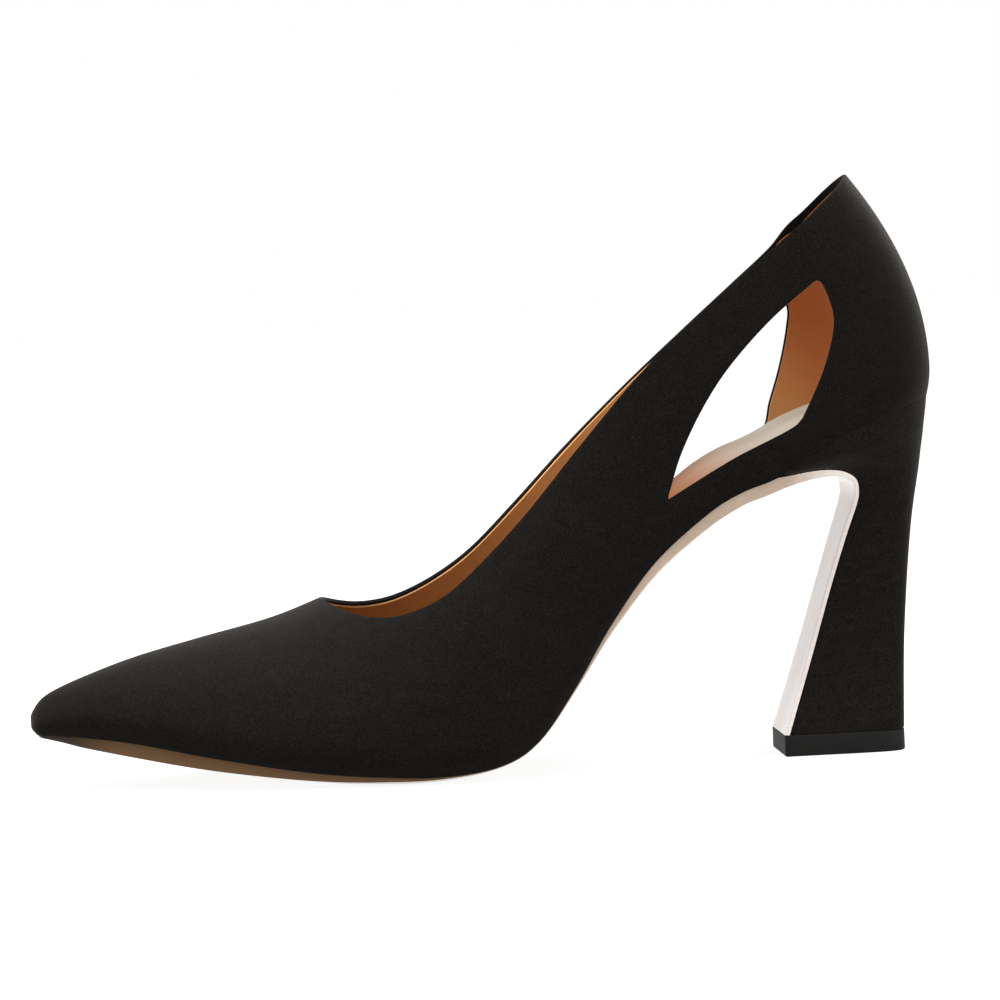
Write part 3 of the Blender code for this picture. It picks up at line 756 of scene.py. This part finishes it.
def open_cut_out(piece, side, grow=0.0):
    """Opens a sheet along a cut-out: points beside its outline move onto it, and what is inside goes."""
    margin = 0.004
    outline = cut_outline(side, grow)
    low, high = outline.min(axis=0) - margin, outline.max(axis=0) + margin
    work = bmesh.new()
    work.from_mesh(piece.data)
    near = [v for v in work.verts if v.co.y * side > 0
            and low[0] < v.co.x < high[0] and low[1] < v.co.z < high[1]]
    gap = dict(zip(near, outline_gap(np.array([(v.co.x, v.co.z) for v in near]), outline)))
    point = Vector(outline[0])
    tip = min(near, key=lambda v: (v.co.xz - point).length)
    tip.co.x, tip.co.z = point
    gap[tip] = 0.0
    moves = {}
    for edge in work.edges:
        a, b = edge.verts
        if a in gap and b in gap and gap[a] * gap[b] < 0:
            share = gap[a] / (gap[a] - gap[b])
            vert, reach = (a, share) if share < 0.5 else (b, 1 - share)
            if vert not in moves or reach < moves[vert][0]:
                moves[vert] = (reach, a.co.lerp(b.co, share))
    for vert, (_, spot) in moves.items():
        vert.co = spot
        gap[vert] = 0.0
    for face in list(work.faces):
        values = [gap.get(v, margin) for v in face.verts]
        edge_verts = [v for v in face.verts if gap.get(v, margin) == 0.0]
        if min(values) < 0 < max(values) and len(edge_verts) == 2:
            bmesh.utils.face_split(face, *edge_verts)
    inside = []
    for face in work.faces:
        values = [gap.get(v, margin) for v in face.verts]
        if max(values) <= 0:
            middle = face.calc_center_median()
            if min(values) < 0 or outline_gap(np.array([middle.xz]), outline)[0] < 0:
                inside.append(face)
    bmesh.ops.delete(work, geom=inside, context="FACES")
    work.to_mesh(piece.data)
    work.free()


def upper_sheet(name, start_place, step, rows, start=0.0, drop=0.0, grow=0.0):
    """Outer skin of the upper as one open sheet: two sides, joined along the vamp, the toe and the back."""
    lasts = [Last(place) for place in stations(start_place, step)]
    drops = [drop * (1 + BACK_FOLD * last.lean ** BACK_FOLD_POWER) for last in lasts]
    halves = []
    for side in (-1, 1):
        lines = [wall_points(last, side, start, low, rows) for last, low in zip(lasts, drops)]
        order = range(rows + 1) if side < 0 else range(rows, -1, -1)
        halves.append(add_grid(name, len(lasts) - 1, rows, lambda column, row: lines[column][order[row]]))
    select_only(*halves)
    bpy.ops.object.join()
    sheet = bpy.context.object
    sheet.name = name
    merge_points(sheet)
    for side in (-1, 1):
        open_cut_out(sheet, side, grow)
    return sheet


class HEEL_OT_upper(bpy.types.Operator):
    """Suede upper with its folded edges"""
    bl_idname = "heel.make_upper"
    bl_label = "Suede Upper"
    FOLD_ANGLE = 50.0

    def execute(self, context):
        size = sizes()
        upper = upper_sheet("upper_suede", 0.0, size.mesh_step, size.mesh_rows)
        thin = upper.vertex_groups.new(name="wall share")
        for vert in upper.data.vertices:
            thin.add([vert.index], wall_share(vert.co.x), "REPLACE")
        apply_modifier(upper, "SOLIDIFY", thickness=size.suede, offset=-1.0, vertex_group=thin.name)
        round_edges(upper, size.edge_round, segments=2, angle=self.FOLD_ANGLE)
        finish_piece(upper, suede_finish("black suede"), "upper")
        return {"FINISHED"}


class HEEL_OT_lining(bpy.types.Operator):
    """Leather lining inside the upper"""
    bl_idname = "heel.make_lining"
    bl_label = "Leather Lining"
    START_PLACE = 2.3
    START_HEIGHT = 0.003
    CLEAR = 0.00003
    STEP = 0.0018
    ROWS = 40

    def execute(self, context):
        size = sizes()
        lining = upper_sheet("upper_lining", self.START_PLACE, self.STEP, self.ROWS, self.START_HEIGHT,
                             size.fold, size.cut_fold)
        apply_modifier(lining, "DISPLACE", strength=-(size.suede + self.CLEAR), mid_level=0.0)
        apply_modifier(lining, "SOLIDIFY", thickness=size.lining, offset=-1.0)
        # The lining's second colour is painted shade, darker towards the back and the top
        leather = leather_finish("lining leather", colours().lining, colours().lining_shade, LINING_SHADE_TURN,
                                 pore=0.0006, rough=0.46, shine=0.25)
        finish_piece(lining, leather)
        return {"FINISHED"}


class PlanOutline:
    """Plan of the inside of the upper at a height above its lower edge, set in from the outer skin."""
    STEP = 0.002

    def __init__(self, height, full_inset):
        self.curve = {}
        for side in (-1, 1):
            lasts = [Last(place) for place in stations(step=self.STEP)]
            for last in lasts:
                last.trough = 0.0
            points = [last.skin(side, height) for last in lasts]
            skin = np.array([(p.x, (p.y - last.axis) * side) for p, last in zip(points, lasts)])
            inset = np.array([full_inset * wall_share(last.x) for last in lasts])[:, None]
            run = np.gradient(skin, axis=0)
            run[0], run[-1] = (0.0, 1.0), (0.0, -1.0)
            run /= np.linalg.norm(run, axis=1)[:, None]
            inner = skin + inset * np.stack((run[:, 1], -run[:, 0]), axis=1)
            inner = inner[inner[:, 1] >= 0.0]
            inner = inner[np.argsort(inner[:, 0])]
            self.curve[side] = inner
        self.front = min(inner[0, 0] for inner in self.curve.values())
        self.back = max(inner[-1, 0] for inner in self.curve.values())

    def half(self, side, x):
        return float(np.interp(x, self.curve[side][:, 0], self.curve[side][:, 1]))


def deck(x):
    """The last at a place along the shoe, with the upward normal of its lower edge in side view."""
    share = x / sizes().length + 0.5
    here = Last(place_along(share))
    before, after = [Last(place_along(share + step)) for step in (-SLOPE_STEP, SLOPE_STEP)]
    slope = Vector((after.x - before.x, after.rim_outer - before.rim_outer)).normalized()
    return here, Vector((-slope.y, slope.x))


def deck_point(last, normal, across, halves, height):
    """Point over the open bottom, across from -1 at the outer edge to 1 at the inner edge."""
    y = last.axis + halves[1 if across > 0 else 0] * across
    z = last.rim_outer + last.arch * (across + 1) / 2 + normal.y * height
    return Vector((last.x + normal.x * height, y, z))


def spread(first, end, count):
    """Values from first to end, closer together at both ends."""
    return [first + (end - first) * (1 - math.cos(math.pi * k / count)) / 2 for k in range(count + 1)]


class HEEL_OT_insole(bpy.types.Operator):
    """Padded insole under its leather sock"""
    bl_idname = "heel.make_insole"
    bl_label = "Padded Insole"
    RINGS = 150
    POINTS = 84
    SQUARE = 0.30
    CLEAR = 0.0002
    FRONT_CLEAR = 0.004
    LEVEL = 0.004
    FILL = 0.75

    def execute(self, context):
        size = sizes()
        plan = PlanOutline(self.LEVEL, size.suede + size.lining + self.CLEAR)
        rings = []
        for x in spread(plan.front + self.FRONT_CLEAR, plan.back, self.RINGS):
            last, normal = deck(x)
            base, thick, cup = plan_at(INSOLE, last.along, "base", "thick", "cup")
            halves = [plan.half(side, x) for side in (-1, 1)]
            ring = []
            for k in range(self.POINTS):
                turn = 2 * math.pi * (k + 0.5) / self.POINTS
                across = math.copysign(abs(math.cos(turn)) ** self.SQUARE, math.cos(turn))
                up = math.copysign(abs(math.sin(turn)) ** self.SQUARE, math.sin(turn))
                height = base + thick * (1 + up) / 2 + cup * across ** 2 * max(0.0, up)
                ring.append(deck_point(last, normal, across, halves, height))
            rings.append(ring)
        insole = add_tube("insole_sock", rings)
        # The sock's second colour is a painted reflection, paler and greyer at the seat
        leather = leather_finish("sock leather", colours().sock, colours().sock_seat_reflection, SOCK_REFLECTION_TURN,
                                 pore=0.0005, rough=0.50, shine=0.12)
        finish_piece(insole, leather, "insole")
        return {"FINISHED"}


def smooth_rows(rows, steps):
    """Rows of a table with smooth rows put between them."""
    made = []
    for i in range(len(rows) - 1):
        for s in range(steps):
            values = [catmull(*column, s / steps) for column in list(zip(*around(rows, i)))[1:]]
            made.append(type(rows[0])(rows[i].name, *values))
    return made + [rows[-1]]


def smooth_rings(rings, steps):
    """Rings with smooth rings put between them."""
    made = []
    for i in range(len(rings) - 1):
        made += [[catmull(*points, s / steps) for points in zip(*around(rings, i))] for s in range(steps)]
    return made + [rings[-1]]


class HEEL_OT_outsole(bpy.types.Operator):
    """Leather outsole that runs on down the front of the heel"""
    bl_idname = "heel.make_outsole"
    bl_label = "Leather Outsole"
    RINGS = 110
    ACROSS = 26
    CORNER = 5
    CORNER_RADIUS = 0.0006
    # A corner takes up no more than this share of the half width and of the thickness
    MOST_ROUND = 0.4
    # The underside is nearly flat across and rises towards its rim
    CAMBER_POWER = 4
    TOP_POINTS = 6
    INSIDE = 0.0008
    FRONT_ROUND = 0.0015
    # Rings are closer together towards the toe
    FRONT_POWER = 1.35
    CLEAR = 0.00005
    END_SHARES = (0.700, 0.736, 0.772, 0.800)
    FLAP_STEPS = 5

    def profile(self, halves, low, camber, high):
        """Points round the sole: across the bottom with rounded corners, and back across the top."""
        radius = min(self.CORNER_RADIUS, self.MOST_ROUND * min(halves), self.MOST_ROUND * (high - low))
        shares = [radius / max(half, radius, self.CLEAR) for half in halves]
        turns = [QUARTER * k / self.CORNER for k in range(self.CORNER + 1)]
        outer, inner = [[(side * (1 - share * (1 - math.cos(turn))), low + radius * (1 - math.sin(turn)))
                         for turn in turns] for side, share in zip((-1, 1), shares)]
        start, end = -1 + 2 * shares[0], 1 - 2 * shares[1]
        bottom = []
        for k in range(self.ACROSS + 1):
            across = start + (end - start) * k / self.ACROSS
            bottom.append((across, low - camber * (1 - across ** self.CAMBER_POWER)))
        top = [(1 - 2 * k / self.TOP_POINTS, high) for k in range(self.TOP_POINTS + 1)]
        return outer + bottom + inner[::-1] + top

    def sole_ring(self, x, plan):
        """Ring of the sole at a place along the shoe, eased to nothing at the toe tip."""
        last, normal = deck(x)
        ahead = max(0.0, 1 - (x - plan.front) / self.FRONT_ROUND)
        ease = math.sqrt(1 - ahead ** 2)
        rim, camber = [value * ease for value in plan_at(SOLE, last.along, "rim", "camber")]
        halves = [plan.half(side, x) * ease for side in (-1, 1)]
        ring = []
        for across, height in self.profile(halves, -rim, camber, self.INSIDE * ease):
            point = deck_point(last, normal, across, halves, height)
            point.z = max(0.0, point.z)
            ring.append(point)
        return ring

    def flap_ring(self, i):
        """Ring of the sole at a row of the heel, square to its front line and level at its foot."""
        size = sizes()
        before, row, after, _ = around(HEEL, i)
        run = Vector((after.front_x - before.front_x, after.front_z - before.front_z)).normalized()
        if row is HEEL[-1]:
            run = Vector((0.0, -1.0))
        half = row.front_half * MM
        low = -size.glue_line - row.flap * MM
        ring = []
        for across, height in self.profile([half, half], low, 0.0, -size.glue_line):
            z = (row.front_z + row.arch * (across + 1) / 2) * MM
            ring.append(Vector((row.front_x * MM - run.y * height, half * across, z + run.x * height)))
        return ring

    def execute(self, context):
        size = sizes()
        plan = PlanOutline(0.0, size.suede + self.CLEAR)
        ends = [size.length * (share - 0.5) for share in self.END_SHARES]
        shares = [(k / self.RINGS) ** self.FRONT_POWER for k in range(self.RINGS)]
        rings = [self.sole_ring(plan.front + (ends[0] - plan.front) * share, plan) for share in shares]
        controls = [self.sole_ring(x, plan) for x in ends]
        controls += [self.flap_ring(i) for i in range(len(HEEL))]
        outsole = add_tube("outsole_leather", rings + smooth_rings(controls, self.FLAP_STEPS))
        finish_piece(outsole, sole_finish("sole leather"), "outsole")
        return {"FINISHED"}


class HeelForm:
    """Rings of the heel block, from the front line round the sides to the back line."""
    SIDE_STEPS = 40
    FRONT_STEPS = 12
    # Points are closer together towards the back, where a ring turns round
    BACK_POWER = 2.2
    ROUND_FROM = 0.35
    SEAT_FRONT = 0.822
    SEAT_PRESS = 0.00015

    def __init__(self):
        self.shares = [1 - (1 - k / self.SIDE_STEPS) ** self.BACK_POWER for k in range(self.SIDE_STEPS)]

    def closed(self, sides, back):
        """One ring from its two sides, its back point and a straight front between the sides."""
        outer, inner = sides[-1][0], sides[1][0]
        front = [inner.lerp(outer, k / self.FRONT_STEPS) for k in range(1, self.FRONT_STEPS)]
        return sides[-1] + [back] + sides[1][::-1] + front

    def ring(self, row):
        """Ring of the heel at a row of its table."""
        sides = {-1: [], 1: []}
        front = Vector((row.front_x, 0.0, row.front_z)) * MM
        back = Vector((row.back_x, 0.0, row.back_z)) * MM
        for side, points in sides.items():
            for share in self.shares:
                half = row.front_half + (row.back_half - row.front_half) * min(1.0, share / self.ROUND_FROM)
                past = max(0.0, share - self.ROUND_FROM) / (1 - self.ROUND_FROM)
                half *= (1 - past ** row.square) ** (1 / row.square)
                arch = row.arch * (1 - share) if side > 0 else 0.0
                points.append(front.lerp(back, share) + Vector((0.0, side * half, arch)) * MM)
        return self.closed(sides, back)

    def seat(self):
        """Top of the heel, pressed a little into the upper's lower edge."""
        sides = {-1: [], 1: []}
        press = Vector((0.0, 0.0, self.SEAT_PRESS))
        for side, points in sides.items():
            for share in self.shares:
                last = Last(place_along(self.SEAT_FRONT + (1.0 - self.SEAT_FRONT) * share))
                points.append(last.wall(side, 0.0) + press)
        return self.closed(sides, Last(LAST_PLACE).wall(1, 0.0) + press)


class HEEL_OT_heel(bpy.types.Operator):
    """Heel block covered in suede"""
    bl_idname = "heel.make_heel"
    bl_label = "Covered Heel"
    RING_STEPS = 5
    EDGE = 0.0004
    # Painted light: the heel's suede is made lighter than the upper's, standing in for light on the heel
    PAINTED_LIGHT_LIFT = 1.5

    def execute(self, context):
        form = HeelForm()
        rings = [form.seat()] + [form.ring(row) for row in smooth_rows(HEEL, self.RING_STEPS)]
        heel = add_tube("heel_cover", rings)
        round_edges(heel, self.EDGE)
        # The heel's suede gets painted light through its lift
        finish_piece(heel, suede_finish("heel suede", self.PAINTED_LIGHT_LIFT), "heel")
        return {"FINISHED"}


class HEEL_OT_top_piece(bpy.types.Operator):
    """Rubber top piece under the heel"""
    bl_idname = "heel.make_top_piece"
    bl_label = "Rubber Top Piece"
    EDGE = 0.0004

    def execute(self, context):
        size = sizes()
        form = HeelForm()
        foot = HEEL[-1]
        front = foot.front_x - size.glue_line / MM - foot.flap
        levels = (size.top_piece / MM, 0.0)
        piece = add_tube("top_piece_rubber",
                         [form.ring(foot._replace(front_x=front, front_z=z, back_z=z)) for z in levels])
        round_edges(piece, self.EDGE)
        finish_piece(piece, rubber_finish("top piece rubber"), "heel_top_piece")
        return {"FINISHED"}


class HEEL_OT_stage(bpy.types.Operator):
    """Pale floor, soft lights and the camera at the photograph's angle"""
    bl_idname = "heel.make_stage"
    bl_label = "Stage"
    FLOOR_RADIUS = 6.0
    FLOOR_CORNERS = 96

    def add_light(self, name, power, size, place, aim):
        lamp = bpy.data.lights.new(name, "AREA")
        lamp.energy = power
        lamp.shape = "RECTANGLE"
        lamp.size, lamp.size_y = size
        light = bpy.data.objects.new(name, lamp)
        bpy.context.scene.collection.objects.link(light)
        light.location = place
        light.rotation_euler = (Vector(aim) - Vector(place)).to_track_quat("-Z", "Y").to_euler()

    def add_camera(self, stage):
        """Camera turned and raised about the middle of the view, then rolled."""
        middle = Vector(stage.middle)
        back = Vector((-math.sin(stage.turn) * math.cos(stage.height),
                       -math.cos(stage.turn) * math.cos(stage.height), math.sin(stage.height)))
        right = Vector((0.0, 0.0, 1.0)).cross(back).normalized()
        up = back.cross(right)
        rolled_right = right * math.cos(stage.roll) - up * math.sin(stage.roll)
        rolled_up = right * math.sin(stage.roll) + up * math.cos(stage.roll)
        lens = bpy.data.cameras.new("camera")
        lens.lens = stage.lens
        camera = bpy.data.objects.new("camera", lens)
        bpy.context.scene.collection.objects.link(camera)
        turn = Matrix((rolled_right, rolled_up, back)).transposed().to_4x4()
        camera.matrix_world = Matrix.Translation(middle + back * stage.distance) @ turn
        bpy.context.scene.camera = camera

    def execute(self, context):
        stage = context.scene.heel_stage
        bpy.ops.object.select_all(action="DESELECT")
        bpy.ops.mesh.primitive_circle_add(vertices=self.FLOOR_CORNERS, radius=self.FLOOR_RADIUS,
                                          fill_type="NGON")
        floor = context.object
        floor.name = "floor"
        paint = Paint("pale floor", Roughness=0.9, Specular_IOR_Level=0.1,
                      Emission_Strength=stage.floor_glow)
        tone = paint.noise(0.4)
        pale, glow = [paint.mix(tone, shade_of(shade, 0.99), shade)
                      for shade in (colours().floor, colours().floor_light)]
        paint.feed(Base_Color=pale, Emission_Color=glow)
        floor.data.materials.append(paint.material)
        world = bpy.data.worlds.new("white room")
        world.use_nodes = True
        sky = world.node_tree.nodes["Background"]
        sky.inputs["Color"].default_value = (1.0, 1.0, 1.0, 1.0)
        sky.inputs["Strength"].default_value = stage.sky
        context.scene.world = world
        context.scene.view_settings.view_transform = "Standard"
        self.add_light("key", stage.key, size=(1.0, 0.8), place=(-0.30, -0.02, 1.25), aim=(0.02, 0.0, 0.05))
        self.add_light("fill", stage.fill, size=(0.8, 0.8), place=(1.3, -1.0, 0.45), aim=(0.08, 0.0, 0.06))
        self.add_camera(stage)
        return {"FINISHED"}


class HEEL_PT_panel(bpy.types.Panel):
    """Pieces of the shoe and its stage"""
    bl_label = "High Heel"
    bl_idname = "HEEL_PT_panel"
    bl_space_type = "VIEW_3D"
    bl_region_type = "UI"
    bl_category = "High Heel"

    def draw(self, context):
        for operator in OPERATORS:
            self.layout.operator(operator.bl_idname)
        for group in (context.scene.heel_sizes, context.scene.heel_colours, context.scene.heel_stage):
            box = self.layout.box()
            for name in group.__annotations__:
                box.prop(group, name)


OPERATORS = (HEEL_OT_upper, HEEL_OT_lining, HEEL_OT_insole, HEEL_OT_outsole, HEEL_OT_heel,
             HEEL_OT_top_piece, HEEL_OT_stage)
GROUPS = {"heel_sizes": HeelSizes, "heel_colours": HeelColours, "heel_stage": HeelStage}
CLASSES = (*GROUPS.values(), *OPERATORS, HEEL_PT_panel)


def register():
    for item in CLASSES:
        bpy.utils.register_class(item)
    for name, group in GROUPS.items():
        setattr(bpy.types.Scene, name, PointerProperty(type=group))


def unregister():
    for name in GROUPS:
        delattr(bpy.types.Scene, name)
    for item in reversed(CLASSES):
        bpy.utils.unregister_class(item)


def main():
    register()
    for operator in OPERATORS:
        group, name = operator.bl_idname.split(".")
        getattr(getattr(bpy.ops, group), name)()


if __name__ == "__main__":
    main()
